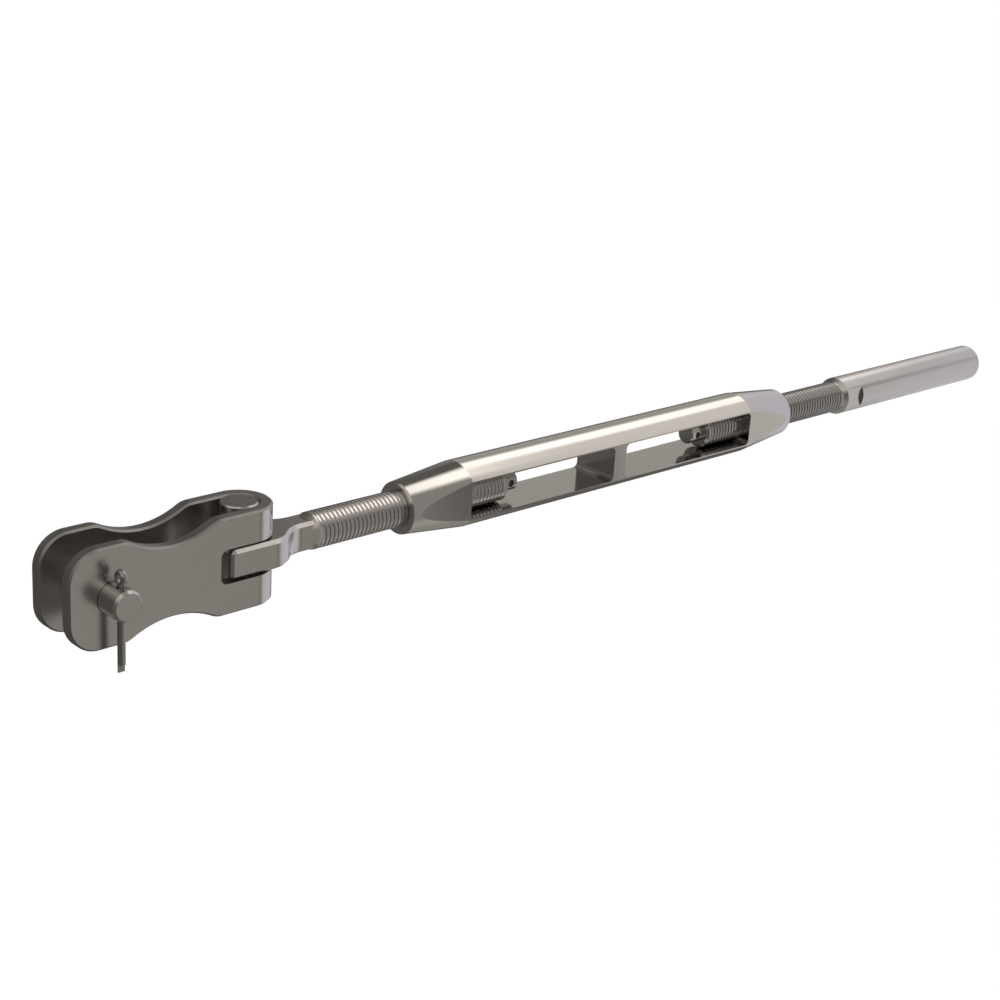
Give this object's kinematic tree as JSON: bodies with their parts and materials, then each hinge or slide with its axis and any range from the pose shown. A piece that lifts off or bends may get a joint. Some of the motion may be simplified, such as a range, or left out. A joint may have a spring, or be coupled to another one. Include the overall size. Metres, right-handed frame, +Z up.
{
  "type": "shroud adjuster",
  "caption": "Rigging screw with a bent strap toggle, clevis pin and split pin, eye screw, open barrel with windows and a swage stud for a wire shroud.",
  "frame": {"origin": "middle of the clevis pin between the strap's cheeks, on the centre line of the fitting", "axes": "+X along the fitting from the clevis pin to the wire's mouth, +Y along the clevis pin to its head, +Z up"},
  "size_m": [0.2925, 0.0214, 0.0242],
  "materials": {
    "strap_steel": "polished stainless steel strip with a faint warm tint and eased edges",
    "pin_steel": "turned stainless steel, fine ring marks",
    "screw_steel": "forged and polished stainless steel with a rolled thread",
    "barrel_steel": "turned and polished stainless steel",
    "swage_steel": "bright drawn stainless steel shank with a rolled thread",
    "split_wire": "half-round stainless steel wire"
  },
  "bodies": {
    "toggle": {"toggle_strap": "strap_steel"},
    "clevis_pin": {"clevis_pin": "pin_steel", "split_pin": "split_wire"},
    "eye_screw": {"eye_screw": "screw_steel", "eye_pin": "pin_steel"},
    "barrel": {"barrel": "barrel_steel"},
    "swage_stud": {"swage_stud": "swage_steel"}
  },
  "joints": [
    {"name": "clevis_pin_turn", "type": "hinge", "parent": "toggle", "child": "clevis_pin", "pos_m": [0, 0, 0], "axis": [0, 1, 0], "continuous": true},
    {"name": "toggle_swing", "type": "hinge", "parent": "toggle", "child": "eye_screw", "pos_m": [0.033, 0, 0], "axis": [0, 0, 1], "range_deg": [-90, 90]},
    {"name": "barrel_turn", "type": "hinge", "parent": "eye_screw", "child": "barrel", "pos_m": [0.1358, 0, 0], "axis": [1, 0, 0], "range_deg": [-3600, 2160]},
    {"name": "swage_travel", "type": "slide", "parent": "eye_screw", "child": "swage_stud", "axis": [1, 0, 0], "range_m": [-0.0212, 0.0128]}
  ],
  "couplings": [
    {"joint": "swage_travel", "follows": "barrel_turn", "m_per_rad": 0.00033687}
  ]
}
